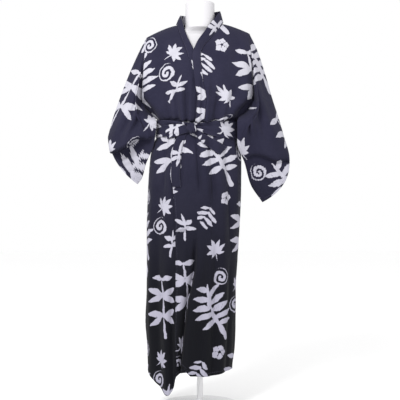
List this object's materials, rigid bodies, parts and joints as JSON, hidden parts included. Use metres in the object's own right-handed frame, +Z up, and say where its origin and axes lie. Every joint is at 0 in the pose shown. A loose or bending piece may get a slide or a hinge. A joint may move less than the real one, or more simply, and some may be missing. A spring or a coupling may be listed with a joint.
{
  "type": "cotton yukata robe on a limbless dress form",
  "caption": "Long wrapped cotton robe with wide sleeves, a collar band and a knotted cloth belt, standing on a smooth dress form with a pole and a round base.",
  "frame": {"origin": "centre of the round base's underside, on the floor", "axes": "+Z up, the robe faces -Y, the wearer's left is +X"},
  "size_m": [0.7237, 0.3, 1.609],
  "materials": {
    "printed_cotton": "plain-weave cotton, navy with white brush motifs",
    "form_shell": "smooth satin white",
    "stand_paint": "satin white paint"
  },
  "bodies": {
    "root": {"front_panel_left": "printed_cotton", "front_panel_right": "printed_cotton", "overlap_panel_left": "printed_cotton", "overlap_panel_right": "printed_cotton", "back_panel_left": "printed_cotton", "back_panel_right": "printed_cotton", "collar_band": "printed_cotton", "sleeve_right": "printed_cotton", "sleeve_left": "printed_cotton", "belt_band": "printed_cotton", "belt_knot": "printed_cotton", "belt_tail": "printed_cotton", "belt_loop": "printed_cotton", "form_body": "form_shell", "form_pole": "stand_paint", "form_base": "stand_paint"}
  },
  "joints": []
}
